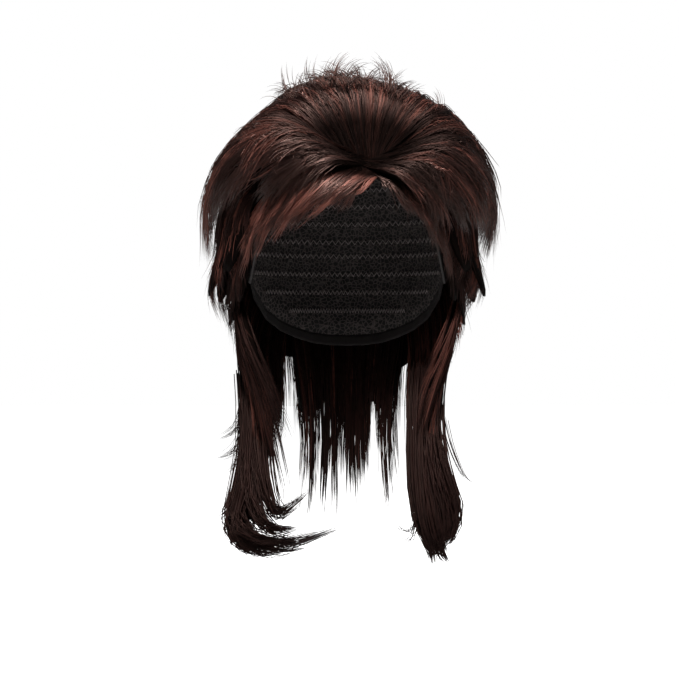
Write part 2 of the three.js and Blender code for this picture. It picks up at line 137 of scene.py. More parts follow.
def elastic_material():
    """Tape with ribs that run across it, counted by their turn round the cap."""
    material, tree, shader = new_material("ribbed_elastic", 0.7, 0.3)
    place = tree.nodes.new("ShaderNodeTexCoord")
    parts = tree.nodes.new("ShaderNodeSeparateXYZ")
    turn = tree.nodes.new("ShaderNodeMath")
    turn.operation = "ARCTAN2"
    count = tree.nodes.new("ShaderNodeMath")
    count.operation = "MULTIPLY"
    count.inputs[1].default_value = RIBS_AROUND
    wave = tree.nodes.new("ShaderNodeMath")
    wave.operation = "SINE"
    rib = tree.nodes.new("ShaderNodeMapRange")
    rib.inputs["From Min"].default_value = -1
    colour = tree.nodes.new("ShaderNodeMix")
    colour.data_type = "RGBA"
    colour.inputs["A"].default_value = TAPE_DARK
    colour.inputs["B"].default_value = TAPE_LIGHT
    relief = tree.nodes.new("ShaderNodeBump")
    relief.inputs["Distance"].default_value = RIB_RELIEF
    tree.links.new(place.outputs["Object"], parts.inputs["Vector"])
    tree.links.new(parts.outputs["X"], turn.inputs[0])
    tree.links.new(parts.outputs["Y"], turn.inputs[1])
    tree.links.new(turn.outputs["Value"], count.inputs[0])
    tree.links.new(count.outputs["Value"], wave.inputs[0])
    tree.links.new(wave.outputs["Value"], rib.inputs["Value"])
    tree.links.new(rib.outputs["Result"], colour.inputs["Factor"])
    tree.links.new(rib.outputs["Result"], relief.inputs["Height"])
    tree.links.new(colour.outputs["Result"], shader.inputs["Base Color"])
    tree.links.new(relief.outputs["Normal"], shader.inputs["Normal"])
    return material


edge_tape = rounded_copy("edge_band", "edge_tape")
edge_tape.data.materials.append(elastic_material())
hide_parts("edge_band")
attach(edge_tape, "root")

# The hair is synthetic fibre, near black with red-brown lengths, machine-sewn in wefts; its darker roots
# are painted shade. Each row starts at its weft on the cap, and falls in locks that taper to feathered
# ends. The form that it is combed over is the one that the imported model uses, so each row lies where its
# solid does. Left is the wearer's, and +X.
HEAD_WIDTH = 0.154
HEAD_DEPTH = 0.188
HEAD_FRONT = 0.495 * HEAD_DEPTH
HEAD_BACK = HEAD_DEPTH - HEAD_FRONT
CROWN_HEIGHT = 0.095
TAIL_DROP = 0.239
CROWN_ARC = math.pi / 2 * math.hypot(HEAD_WIDTH / 2, CROWN_HEIGHT) * math.sqrt(0.5)
TOP_LEVEL = 0.001
NECK_LEVELS = (1, 1.15, 1.3, 1.42, 1.55, 1.7, 1.85, 2)
NECK_HALF = (1, 0.985, 0.9, 0.8, 0.74, 0.73, 0.78, 0.9)
NECK_FRONT = (1, 0.96, 0.84, 0.66, 0.5, 0.46, 0.5, 0.62)
NECK_BACK = (1, 0.93, 0.77, 0.65, 0.62, 0.64, 0.7, 0.8)


def along(levels, values, level):
    """A smooth curve through values that are given at levels."""
    x = np.array(levels, float)
    y = np.array(values, float)
    slope = np.zeros(len(x))
    slope[1:-1] = (y[2:] - y[:-2]) / (x[2:] - x[:-2])
    row = np.clip(np.searchsorted(x, level, side="right") - 1, 0, len(x) - 2)
    span = x[row + 1] - x[row]
    share = np.clip((level - x[row]) / span, 0, 1)
    square = share**2
    cube = share**3
    start = (2 * cube - 3 * square + 1) * y[row] + (cube - 2 * square + share) * span * slope[row]
    end = (3 * square - 2 * cube) * y[row + 1] + (cube - square) * span * slope[row + 1]
    return start + end


def smooth(share):
    """A share from 0 to 1, eased at both ends."""
    held = np.clip(share, 0, 1)
    return held * held * (3 - 2 * held)


def drop_of(level):
    """How far below the crown a level lies, along the form."""
    return np.where(level <= 1, level * CROWN_ARC, CROWN_ARC + (level - 1) * TAIL_DROP)


def level_of(drop):
    """The level that lies so far below the crown."""
    return np.where(drop <= CROWN_ARC, drop / CROWN_ARC, 1 + (drop - CROWN_ARC) / TAIL_DROP)


def head_place(azimuth, level):
    """Places on the form and the ways out of it. Azimuth 0 is the front, 90 is +X. Level 0 is the crown, 1
    where the dome ends, and 2 the end of the tails."""
    turn = np.radians(azimuth)
    ahead = np.cos(turn) > 0
    under = np.maximum(1, level)
    polar = np.pi / 2 * np.minimum(1, level)
    half_x = HEAD_WIDTH / 2 * along(NECK_LEVELS, NECK_HALF, under)
    front = HEAD_FRONT * along(NECK_LEVELS, NECK_FRONT, under)
    back = HEAD_BACK * along(NECK_LEVELS, NECK_BACK, under)
    half_y = np.where(ahead, front, back)
    height = np.where(level <= 1, CROWN_HEIGHT * np.cos(polar), 0)
    x = half_x * np.sin(polar) * np.sin(turn)
    y = -half_y * np.sin(polar) * np.cos(turn)
    z = np.where(level <= 1, height - CROWN_HEIGHT, -CROWN_HEIGHT - (level - 1) * TAIL_DROP)
    out = np.stack([x / half_x**2, y / half_y**2, height / CROWN_HEIGHT**2], -1)
    out /= np.linalg.norm(out, axis=-1, keepdims=True)
    return np.stack([x, y, z], -1), out


CAP_WALL = 0.002
SEAT_GAP = 0.0007
LAYER_STEP = 0.0092
LOCK_THICKNESS = 0.008
WEFT_SHARE = 0.3
LOCK_COLUMNS = (
    "azimuth", "root", "to_azimuth", "tip", "bow", "layer", "tip_layer", "thick", "rise", "flick",
)
FULL_AT = (0, 0.2, 0.42, 0.66, 0.86, 1)
FULL = (WEFT_SHARE, 0.75, 1, 0.95, 0.62, 0.2)
FLICK_FROM = 0.6
TIP_LAYER_FROM = 0.5


def lock_values(row, spot):
    """The columns of a row's table at places across it, mixed from the locks on each side."""
    table = np.array(row, float)
    index = np.clip(np.floor(spot).astype(int), 0, len(row) - 2)
    mixed = table[index] + (table[index + 1] - table[index]) * (spot - index)[..., None]
    return {name: mixed[..., column] for column, name in enumerate(LOCK_COLUMNS)}


def combed(row, spot, share, depth, aside=0.0, proud=0.0):
    """Points of hair at places across a row and shares of its length, and the ways out of the form there.
    Depth is 0 under a lock and 1 at its outside. Aside and proud move a point sideways and out, in
    metres."""
    lock = lock_values(row, spot)
    start = drop_of(lock["root"])
    end = drop_of(lock["tip"])
    turn = np.radians(lock["azimuth"])
    to_turn = np.radians(lock["to_azimuth"])
    from_x = start * np.sin(turn)
    from_y = -start * np.cos(turn)
    way_x = end * np.sin(to_turn) - from_x
    way_y = -end * np.cos(to_turn) - from_y
    length = np.hypot(way_x, way_y)
    sideways = lock["bow"] * 4 * share * (1 - share) + aside / length
    x = from_x + way_x * share + way_y * sideways
    y = from_y + way_y * share - way_x * sideways
    flicked = smooth((share - FLICK_FROM) / (1 - FLICK_FROM))
    azimuth = np.degrees(np.arctan2(x, -y)) + lock["flick"] * flicked
    level = np.maximum(TOP_LEVEL, level_of(np.hypot(x, y)))
    layer = lock["layer"] * smooth(share / lock["rise"])
    at_tip = smooth((share - TIP_LAYER_FROM) / (1 - TIP_LAYER_FROM))
    layer = layer + (lock["tip_layer"] - lock["layer"]) * at_tip
    thickness = LOCK_THICKNESS * lock["thick"] * np.interp(share, FULL_AT, FULL)
    place, out = head_place(azimuth, level)
    lift = CAP_WALL + SEAT_GAP + layer * LAYER_STEP + depth * thickness + proud
    return place + out * lift[..., None], out


STRAND_SIDES = 3
STRAND_POINTS = 8
TONE_COLUMNS = 128
V_START = 0.02
V_LENGTH = 0.96
NO_LENGTH = 1e-12


def strand_mesh(points, outs, widths, tones, shares):
    """Vertices, faces and UVs of tapered strands. Points are an array of strands by points by 3. A
    strand's tone is the U of its column in the UV map, and V is how far down its row each point lies."""
    count, rings = points.shape[:2]
    way = np.gradient(points, axis=1)
    way /= np.linalg.norm(way, axis=-1, keepdims=True) + NO_LENGTH
    beside = np.cross(way, outs)
    beside /= np.linalg.norm(beside, axis=-1, keepdims=True) + NO_LENGTH
    above = np.cross(beside, way)
    corners = np.radians(90 + 360 / STRAND_SIDES * np.arange(STRAND_SIDES))
    half = widths[..., None, None] / 2
    ring = points[:, :, None] + half * (
        np.cos(corners)[:, None] * beside[:, :, None] + np.sin(corners)[:, None] * above[:, :, None]
    )
    body = ring[:, :-1].reshape(count, -1, 3)
    vertices = np.concatenate([body, points[:, -1:]], axis=1)
    per_strand = vertices.shape[1]
    step = np.arange(rings - 2)[:, None] * STRAND_SIDES
    corner = np.arange(STRAND_SIDES)[None]
    beside_corner = (corner + 1) % STRAND_SIDES
    below = step + STRAND_SIDES
    quads = np.stack([step + corner, step + beside_corner, below + beside_corner, below + corner], -1)
    quads = quads.reshape(-1, 4)
    last = (rings - 2) * STRAND_SIDES
    tip = np.stack([last + corner[0], last + beside_corner[0], np.full(STRAND_SIDES, per_strand - 1)], -1)
    root = np.array([list(range(STRAND_SIDES))[::-1]])
    shift = (np.arange(count) * per_strand)[:, None, None]
    triangles = np.concatenate([tip, root])[None] + shift
    quads = quads[None] + shift
    lengthwise = np.broadcast_to(V_START + V_LENGTH * np.clip(shares, 0, 1), (count, rings))
    v = np.repeat(lengthwise, STRAND_SIDES, axis=1)[:, :per_strand]
    across_u = np.append(np.tile(0.2 + 0.3 * np.arange(STRAND_SIDES), rings - 1), 0.5)
    u = (tones[:, None] + across_u[None]) / TONE_COLUMNS
    uvs = np.stack([u, v], -1)
    return vertices.reshape(-1, 3), quads.reshape(-1, 4), triangles.reshape(-1, 3), uvs.reshape(-1, 2)


def mesh_piece(name, parts, material):
    """One object from several (vertices, quads, triangles, UVs), each a closed set of skins."""
    vertices, loops, totals, uvs = [], [], [], []
    shift = 0
    for part_vertices, quads, triangles, part_uvs in parts:
        vertices.append(part_vertices)
        uvs.append(part_uvs)
        loops += [(quads + shift).ravel(), (triangles + shift).ravel()]
        totals += [np.full(len(quads), 4), np.full(len(triangles), 3)]
        shift += len(part_vertices)
    vertices = np.concatenate(vertices)
    loops = np.concatenate(loops)
    totals = np.concatenate(totals)
    uvs = np.concatenate(uvs)
    mesh = bpy.data.meshes.new(name)
    mesh.vertices.add(len(vertices))
    mesh.vertices.foreach_set("co", vertices.astype(np.float32).ravel())
    mesh.loops.add(len(loops))
    mesh.loops.foreach_set("vertex_index", loops.astype(np.int32))
    mesh.polygons.add(len(totals))
    starts = np.concatenate([[0], np.cumsum(totals)[:-1]])
    mesh.polygons.foreach_set("loop_start", starts.astype(np.int32))
    mesh.polygons.foreach_set("use_smooth", np.ones(len(totals), bool))
    mesh.update(calc_edges=True)
    layer = mesh.uv_layers.new(name="OFBake")
    layer.data.foreach_set("uv", uvs[loops].astype(np.float32).ravel())
    mesh.materials.append(material)
    piece = bpy.data.objects.new(name, mesh)
    bpy.context.collection.objects.link(piece)
    return piece


HAIR_GLOSS = (1, 0.6, 0.5, 1)
# Toward a row's roots the fibre is painted in shade: its tone drops to a small share, its roughness rises
# and its shine falls.
ROOT_ROUGHNESS = 0.85
SHADED_ROOT_SHINE = 0.02
FIBRE_DARK = (0.0015, 0.0009, 0.0009)
FIBRE_BROWN = (0.013, 0.005, 0.0042)
FIBRE_RED = (0.12, 0.042, 0.031)
PAINTED_ROOT_SHADE = 0.04
BROWN_AT = 0.55


def hair_material(name, roughness, shine, shaded=(0.02, 0.45)):
    """Fibre whose tone comes from its column in the UV map. It is dark and dull up to the first of the
    shaded shares of its row, where other rows shade it, and has its full tone from the second."""
    material, tree, shader = new_material(name, roughness, shine, HAIR_GLOSS)
    spot = tree.nodes.new("ShaderNodeUVMap")
    spot.uv_map = "OFBake"
    parts = tree.nodes.new("ShaderNodeSeparateXYZ")
    tone = tree.nodes.new("ShaderNodeValToRGB")
    tone.color_ramp.elements[0].color = (*FIBRE_DARK, 1)
    tone.color_ramp.elements[1].color = (*FIBRE_RED, 1)
    tone.color_ramp.elements.new(BROWN_AT).color = (*FIBRE_BROWN, 1)
    root = tree.nodes.new("ShaderNodeMapRange")
    root.interpolation_type = "SMOOTHSTEP"
    root.inputs["From Min"].default_value = shaded[0]
    root.inputs["From Max"].default_value = shaded[1]
    root.inputs["To Min"].default_value = PAINTED_ROOT_SHADE
    root.inputs["To Max"].default_value = 1
    gloss = tree.nodes.new("ShaderNodeMapRange")
    gloss.inputs["To Min"].default_value = ROOT_ROUGHNESS
    gloss.inputs["To Max"].default_value = roughness
    sheen = tree.nodes.new("ShaderNodeMapRange")
    sheen.inputs["To Min"].default_value = SHADED_ROOT_SHINE
    sheen.inputs["To Max"].default_value = shine
    shade = tree.nodes.new("ShaderNodeMix")
    shade.data_type = "RGBA"
    shade.blend_type = "MULTIPLY"
    shade.inputs["Factor"].default_value = 1
    tree.links.new(spot.outputs["UV"], parts.inputs["Vector"])
    tree.links.new(parts.outputs["X"], tone.inputs["Fac"])
    tree.links.new(parts.outputs["Y"], root.inputs["Value"])
    tree.links.new(tone.outputs["Color"], shade.inputs["A"])
    tree.links.new(root.outputs["Result"], shade.inputs["B"])
    tree.links.new(root.outputs["Result"], gloss.inputs["Value"])
    tree.links.new(gloss.outputs["Result"], shader.inputs["Roughness"])
    tree.links.new(root.outputs["Result"], sheen.inputs["Value"])
    tree.links.new(sheen.outputs["Result"], shader.inputs["Specular IOR Level"])
    tree.links.new(shade.outputs["Result"], shader.inputs["Base Color"])
    return material


fibre = hair_material("hair_fibre", 0.34, 0.42, shaded=(0.05, 0.45))
# A shaded copy of the same fibre for the lower rows, duller and with less shine, as painted shade where the
# rows over it shade them.
painted_shade_fibre = hair_material("hair_fibre_painted_shade", 0.5, 0.15)

# The wefts are stitched on in arcs across the back of the cap, and the zigzag thread shows on its inside.
SEAM_LEVELS = (0.24, 0.34, 0.44, 0.54, 0.64, 0.74, 0.84, 0.94, 1.01, 1.07, 1.13, 1.19)
SEAM_TURNS = (105, 105, 105, 105, 105, 100, 95, 90, 82, 74, 60, 40)
SEAM_STITCHES = 90
SEAM_SWING = 0.0016
SEAM_THREAD = 0.001
SEAM_PROUD = 0.0038
THREAD_GREY = (0.15, 0.13, 0.125, 1)

thread, _, thread_shader = new_material("seam_thread", 0.8, 0.2)
thread_shader.inputs["Base Color"].default_value = THREAD_GREY
seam_turns = 180 + np.array(SEAM_TURNS)[:, None] * np.linspace(-1, 1, SEAM_STITCHES)
zigzag = SEAM_SWING * (-1) ** np.arange(SEAM_STITCHES)
seam_levels = level_of(drop_of(np.array(SEAM_LEVELS))[:, None] + zigzag)
seam_places, seam_outs = head_place(seam_turns, seam_levels)
seam_widths = np.full(seam_turns.shape, SEAM_THREAD)
seam_places = seam_places - SEAM_PROUD * seam_outs
seam_tones = np.zeros(len(SEAM_LEVELS), int)
seam_mesh = strand_mesh(seam_places, seam_outs, seam_widths, seam_tones, np.zeros(seam_turns.shape))
weft_seams = mesh_piece("weft_seams", [seam_mesh], thread)
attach(weft_seams, "root")

# Under each row's strands lies a dark body, a sheet in painted shade that stands for the shaded depth of
# the hair.
# The strands themselves are combed in clumps.
SHADE_BODY_PER_LOCK = 6
SHADE_BODY_SECTIONS = 12
SHADE_BODY_EDGE = 0.47
SHADE_BODY_TOP = 0.62
SHADE_BODY_BOTTOM = 0.1
# The body's colour is painted shade: a dark tone column at a V inside the painted root shade, so it is near
# black.
SHADE_BODY_TONE = 1
SHADE_BODY_PAINTED_SHADE = 0.12
LOCK_NOTCH = 0.24
NOTCH_POWER = 1.4


def shade_body_mesh(row, shade_body_reach, notch, tucked):
    """The dark body of a row that its strands lie on, a closed sheet in painted shade that stops short of
    the feathered ends. Tucked is how far it runs back past its weft, as a share of its own length."""
    across = np.linspace(-SHADE_BODY_EDGE, len(row) - 1 + SHADE_BODY_EDGE, SHADE_BODY_PER_LOCK * len(row) + 1)
    down = np.linspace(-tucked, 1, SHADE_BODY_SECTIONS)
    spot, share = np.meshgrid(across, down, indexing="ij")
    reach = shade_body_reach * lock_reach(spot, notch)
    skins = []
    for depth in (SHADE_BODY_TOP, SHADE_BODY_BOTTOM):
        skins.append(combed(row, spot, share * reach, np.full_like(spot, depth))[0])
    columns, sections = spot.shape
    vertices = np.concatenate([skin.reshape(-1, 3) for skin in skins])
    index = np.arange(columns * sections).reshape(columns, sections)
    under = index + columns * sections
    quads = []

    def quad_sheet(grid, turned):
        """Adds the quads of a grid of vertices, facing the other way if turned."""
        corners = [grid[:-1, :-1], grid[1:, :-1], grid[1:, 1:], grid[:-1, 1:]]
        if turned:
            corners.reverse()
        quads.append(np.stack([corner.ravel() for corner in corners], -1))

    quad_sheet(index, False)
    quad_sheet(under, True)
    quad_sheet(np.stack([index[:, 0], under[:, 0]]), False)
    quad_sheet(np.stack([index[:, -1], under[:, -1]]), True)
    quad_sheet(np.stack([index[0], under[0]]), True)
    quad_sheet(np.stack([index[-1], under[-1]]), False)
    # The darkest tone column and a V deep in the painted root shade make the body near black.
    u = (SHADE_BODY_TONE + 0.2 + 0.6 * (spot - across[0]) / (across[-1] - across[0])) / TONE_COLUMNS
    v = np.full_like(u, SHADE_BODY_PAINTED_SHADE)
    uvs = np.tile(np.stack([u.ravel(), v.ravel()], -1), (2, 1))
    no_triangles = np.zeros((0, 3), int)
    return vertices, np.concatenate(quads), no_triangles, uvs


def lock_reach(spot, notch):
    """How far down a row reaches: to its end at each lock's ridge, and less between locks."""
    beside = spot - np.round(spot)
    return 1 - notch * np.abs(2 * beside) ** NOTCH_POWER


CLUMP_DEPTHS = (0.66, 1.15)
SHORT_REACH = (0.45, 0.85)
SHORT_PROUD = 0.12
STRAND_DEPTHS = (0.75, 1.05)
STRAND_ENDS = (0.8, 1.04)
STRAND_WIDTHS = (0.7, 1.2)
EMERGING_DEPTH = 0.5
EMERGING_SPEED = 7
GATHERING_SPEED = 1.2
LINING_DEPTHS = (-0.05, 0.06)
SWAY_TURN = 4
TONE_SPREAD = 18
LOWEST_TONE = 4
TAPER = (0.15, 1.15)


def taper_of(steps):
    """A strand's width down its length, as a share: full at first, and thin at its tip."""
    return np.clip(TAPER[1] - steps**3, TAPER[0], 1)


def comb(
    row, strands, seed, clumps=9, width=0.00065, flip=(-0.004, 0.004), loose=0.002, wave=0.004,
    tone=(6, 116), begins=(-0.06, 0.3), reach=(0.86, 1.06), short=0.4, gather=0.5, notch=LOCK_NOTCH,
    inner=0.0,
):
    """Strands of a row. They leave its weft all along it, gather in clumps and end unevenly. Flip is how
    far a clump's end turns out, loose how far a strand strays, and wave how far a clump sways, all in
    metres. Tone is the range of tone columns. Begins and reach are where strands begin and clumps end, as
    shares of the row's length. Short is the share of clumps that end early, gather how wide a clump's end
    is, in clumps, notch how much less the row reaches between its locks, and inner the share of strands
    that line its inside."""
    rng = np.random.default_rng(seed)
    locks = len(row)
    groups = locks * clumps
    group_spot = (np.arange(groups) + 0.5) / clumps - 0.5 + rng.uniform(-0.3, 0.3, groups) / clumps
    group_depth = rng.uniform(*CLUMP_DEPTHS, groups)
    group_reach = rng.uniform(*reach, groups)
    cut_short = rng.random(groups) < short
    group_reach[cut_short] *= rng.uniform(*SHORT_REACH, cut_short.sum())
    group_depth[cut_short] += SHORT_PROUD
    group_flip = rng.uniform(*flip, groups)
    group_wave = rng.uniform(-1, 1, groups) * wave
    group_phase = rng.uniform(0, 2 * np.pi, groups)
    group_tone = rng.uniform(*tone, groups)
    group = rng.integers(0, groups, strands)
    begin = rng.uniform(*begins, strands)
    root_spot = group_spot[group] + rng.uniform(-0.9, 0.9, strands) / clumps
    tip_spot = group_spot[group] + rng.uniform(-gather, gather, strands) / clumps
    depth = group_depth[group] * rng.uniform(*STRAND_DEPTHS, strands)
    first_depth = np.full(strands, EMERGING_DEPTH)
    lining = rng.random(strands) < inner
    depth[lining] = rng.uniform(*LINING_DEPTHS, lining.sum())
    first_depth[lining] = 0
    stray = rng.normal(0, 1, strands) * loose
    stray_out = rng.normal(0, 0.6, strands) * loose
    group_end = lock_reach(group_spot, notch) * group_reach
    end = group_end[group] * rng.uniform(*STRAND_ENDS, strands)
    steps = np.linspace(0, 1, STRAND_POINTS)[None]
    share = begin[:, None] + (end - begin)[:, None] * steps
    spot = root_spot[:, None] + (tip_spot - root_spot)[:, None] * smooth(steps * GATHERING_SPEED)
    emerge = smooth(steps * EMERGING_SPEED)
    swing = np.sin(group_phase[group][:, None] + SWAY_TURN * steps)
    sway = group_wave[group][:, None] * swing * steps
    aside = sway + stray[:, None] * steps**2
    proud = group_flip[group][:, None] * steps**4 + stray_out[:, None] * steps**2
    depths = depth[:, None] * emerge + first_depth[:, None] * (1 - emerge)
    points, outs = combed(row, spot, share, depths, aside, proud)
    widths = width * rng.uniform(*STRAND_WIDTHS, strands)[:, None] * taper_of(steps)
    tones = group_tone[group] + rng.normal(0, TONE_SPREAD, strands)
    tones = np.clip(tones, LOWEST_TONE, TONE_COLUMNS - 2).astype(int)
    return strand_mesh(points, outs, widths, tones, share)


FLYAWAY_SHARE = 0.08
FLYAWAY = {
    "clumps": 40, "width": 0.0004, "loose": 0.004, "wave": 0.006, "short": 0.6, "begins": (0.1, 0.6),
    "flip": (-0.003, 0.004), "inner": 0,
}
FLYAWAY_SEED_STEP = 100


def hair_row(node_name, row, strands, seed, extra=(), shade_body_reach=0.62, tucked=0.0, material=None, **combing):
    """A row's piece: its dark body in painted shade, its combed strands, the flyaways over them, and any
    extra strands.
    """
    parts = [
        shade_body_mesh(row, shade_body_reach, combing.get("notch", LOCK_NOTCH), tucked),
        comb(row, strands, seed, **combing),
        comb(row, round(FLYAWAY_SHARE * strands), seed + FLYAWAY_SEED_STEP, **{**combing, **FLYAWAY}),
        *extra,
    ]
    piece = mesh_piece(node_name + "_hair", parts, material or fibre)
    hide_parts(node_name)
    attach(piece, "root")


WISP_TONES = (4, 36)
SHORTEST_WISP = 0.75
WISP_GATHER = 0.75


def wisps(paths, per_path, spread, seed, width):
    """Strands that follow paths of points in millimetres. They are spread round a path at its root, and
    come together at its tip."""
    rng = np.random.default_rng(seed)
    steps = np.linspace(0, 1, STRAND_POINTS)
    strands = []
    for path in paths:
        spots = np.array(path, float) / 1000
        at = steps * rng.uniform(SHORTEST_WISP, 1, (per_path, 1))
        line = [along(np.linspace(0, 1, len(spots)), spots[:, axis], at) for axis in range(3)]
        astray = rng.normal(0, spread, (per_path, 1, 3)) * (1 - WISP_GATHER * at[..., None] ** 2)
        strands.append(np.stack(line, -1) + astray)
    points = np.concatenate(strands)
    outs = points * (1, 1, 0) + (0, 0, 0.0001)
    outs /= np.linalg.norm(outs, axis=-1, keepdims=True)
    widths = width * rng.uniform(*STRAND_WIDTHS, (len(points), 1)) * taper_of(steps)
    tones = rng.integers(*WISP_TONES, len(points))
    return strand_mesh(points, outs, widths, tones, 0.5 + 0.5 * steps)


def mirrored(row):
    """The same row on the other side of the head."""
    return [(-lock[0], lock[1], -lock[2], lock[3], -lock[4], *lock[5:9], -lock[9]) for lock in row]


LONGER_LOCK = 0.06


def back_row(spread, locks, root, tip, layer, tip_layer, thick, rise):
    """Locks spread evenly over an arc of so many degrees at the back. Every other lock is longer."""
    row = []
    for index in range(locks):
        azimuth = 180 + spread * (index / (locks - 1) - 0.5)
        end = tip + LONGER_LOCK * (index % 2)
        row.append((azimuth, root, azimuth, end, 0, layer, tip_layer, thick, rise, 0))
    return row


# The longest rows hang at the nape: locks down its middle, and a group behind each ear that lies forward.
TAIL_RIGHT = [
    (-112, 1.08, -50, 1.88, 0.04, 0.1, 0.3, 1, 0.3, 12),
    (-122, 1.1, -70, 1.93, 0.03, 0.3, 1.0, 1.1, 0.3, 0),
    (-132, 1.12, -90, 1.9, 0.02, 0.9, 0.7, 1.1, 0.3, 0),
    (-143, 1.14, -112, 1.93, 0.02, 0.6, 0.7, 1, 0.3, 0),
]
TAIL_LEFT = [
    (112, 1.08, 50, 1.88, -0.04, 0.1, 0.2, 0.9, 0.3, 0),
    (122, 1.1, 62, 2, -0.04, 0, 0.6, 1, 0.3, 0),
    (132, 1.12, 84, 1.94, -0.03, 0, 0.9, 0.9, 0.3, 0),
    (143, 1.14, 108, 1.93, -0.02, 0, 0.9, 0.9, 0.3, 0),
]
# The ends of the forward locks flick: on the right in hooks towards the middle and short spikes outwards,
# and on the left in a round turn inwards.
TAIL_RIGHT_HOOKS = [
    [
        (-68, 12, -185), (-66, -4, -222), (-64, -22, -255),
        (-58, -34, -281), (-48, -42, -291), (-25, -50, -271),
    ],
    [
        (-72, 12, -190), (-70, -6, -236), (-77, -24, -276),
        (-81, -34, -302), (-46, -44, -313), (-2, -54, -298),
    ],
    [
        (-71, 14, -190), (-69, -4, -236), (-75, -22, -278),
        (-78, -32, -306), (-55, -42, -318), (-28, -48, -314),
    ],
    [
        (-72, 12, -190), (-69, -4, -236), (-73, -20, -272),
        (-85, -30, -298), (-72, -38, -317), (-46, -44, -320),
    ],
    [
        (-70, 10, -190), (-70, -6, -228), (-72, -22, -262),
        (-68, -34, -290), (-52, -42, -303), (-34, -48, -300),
    ],
]
TAIL_RIGHT_SPIKES = [
    [(-72, 12, -165), (-74, 6, -195), (-79, 0, -222), (-86, -5, -232), (-97, -8, -237)],
    [(-72, 10, -170), (-75, 4, -205), (-80, -4, -238), (-87, -9, -248), (-98, -14, -252)],
    [(-73, 14, -180), (-75, 8, -215), (-79, 2, -246), (-85, -2, -258), (-92, -4, -264)],
    [(-75, 4, -220), (-80, -6, -258), (-86, -14, -284), (-91, -18, -292), (-100, -20, -296)],
]
TAIL_LEFT_TURNS = [
    [(66, 10, -190), (63, -6, -228), (70, -22, -264), (79, -30, -289), (74, -36, -308), (60, -40, -308)],
    [(64, 8, -190), (60, -8, -226), (65, -24, -262), (75, -34, -290), (72, -42, -310), (56, -47, -309)],
    [(62, 6, -190), (58, -8, -228), (60, -25, -266), (66, -36, -294), (66, -43, -314), (58, -47, -322)],
    [(56, 4, -190), (53, -12, -228), (52, -28, -268), (55, -40, -298), (62, -45, -316), (63, -49, -328)],
    [(60, 6, -190), (57, -10, -228), (57, -26, -266), (62, -38, -298), (68, -43, -317), (74, -46, -326)],
]
TAIL_LEFT_STRAYS = [
    [(54, -10, -225), (51, -26, -262), (50, -40, -290), (45, -47, -304), (27, -52, -292)],
    [(56, -12, -230), (53, -30, -270), (50, -42, -300), (43, -48, -310), (30, -52, -300)],
    [(72, 0, -222), (76, -4, -240), (82, -9, -256), (88, -13, -266), (96, -16, -271)],
]
# The spread of each row's tone range is the fibre's own; the low top of the nape's range is painted shade.
NAPE_LOOK = {
    "clumps": 10, "gather": 1.2, "notch": 0.12, "shade_body_reach": 0.46, "width": 0.0009, "inner": 0.45,
    "reach": (0.64, 1), "wave": 0.007, "tone": (4, 80), "material": painted_shade_fibre,
}
TAIL_BACK = back_row(52, 4, 1.14, 1.94, 0, 1, 1, 0.3)
hair_row("tail_back", TAIL_BACK, 930, 1, **NAPE_LOOK)

END_WIDTH = 0.0011
STRAY_WIDTH = 0.0005
# The low top of the tails' tone range is painted shade.
TAIL_LOOK = {
    "tone": (4, 108), "gather": 0.8, "shade_body_reach": 0.55, "reach": (0.75, 0.98), "wave": 0.007, "inner": 0.35,
    "material": painted_shade_fibre,
}
right_ends = [
    wisps(TAIL_RIGHT_HOOKS, 110, 0.0045, 31, width=END_WIDTH),
    wisps(TAIL_RIGHT_SPIKES, 22, 0.0025, 32, width=STRAY_WIDTH),
]
hair_row("tail_right", TAIL_RIGHT, 1200, 2, extra=right_ends, **TAIL_LOOK)
left_ends = [
    wisps(TAIL_LEFT_TURNS, 110, 0.0045, 33, width=END_WIDTH),
    wisps(TAIL_LEFT_STRAYS, 12, 0.002, 34, width=STRAY_WIDTH),
]
hair_row("tail_left", TAIL_LEFT, 1200, 3, extra=left_ends, **TAIL_LOOK)

# The low rows cover the nape and the places before and over the ears.
SIDE_LOW = [
    (60, 0.76, 72, 1.22, 0.03, 0.05, 0.5, 0.8, 0.3, 0),
    (73, 0.79, 85, 1.27, 0.03, 0.05, 1.2, 0.8, 0.3, 0),
    (87, 0.8, 98, 1.3, 0.03, 0.05, 1.7, 0.8, 0.3, 0),
    (101, 0.8, 110, 1.33, 0, 0.05, 1.6, 0.8, 0.3, 0),
]
BACK_LOW = back_row(106, 6, 0.86, 1.6, 0.9, 2, 0.9, 0.3)
# The low top of the back rows' tone range is painted shade.
BACK_LOOK = {
    "tone": (4, 90), "gather": 0.9, "notch": 0.1, "reach": (0.75, 1.1), "short": 0.5,
    "material": painted_shade_fibre,
}
hair_row("back_low", BACK_LOW, 850, 4, **BACK_LOOK)
# The low side rows have the lowest tone range, as painted shade.
SIDE_LOW_LOOK = {"shade_body_reach": 0.85, "tone": (4, 50), "material": painted_shade_fibre}
hair_row("side_low_left", SIDE_LOW, 500, 5, **SIDE_LOW_LOOK)
hair_row("side_low_right", mirrored(SIDE_LOW), 500, 6, **SIDE_LOW_LOOK)

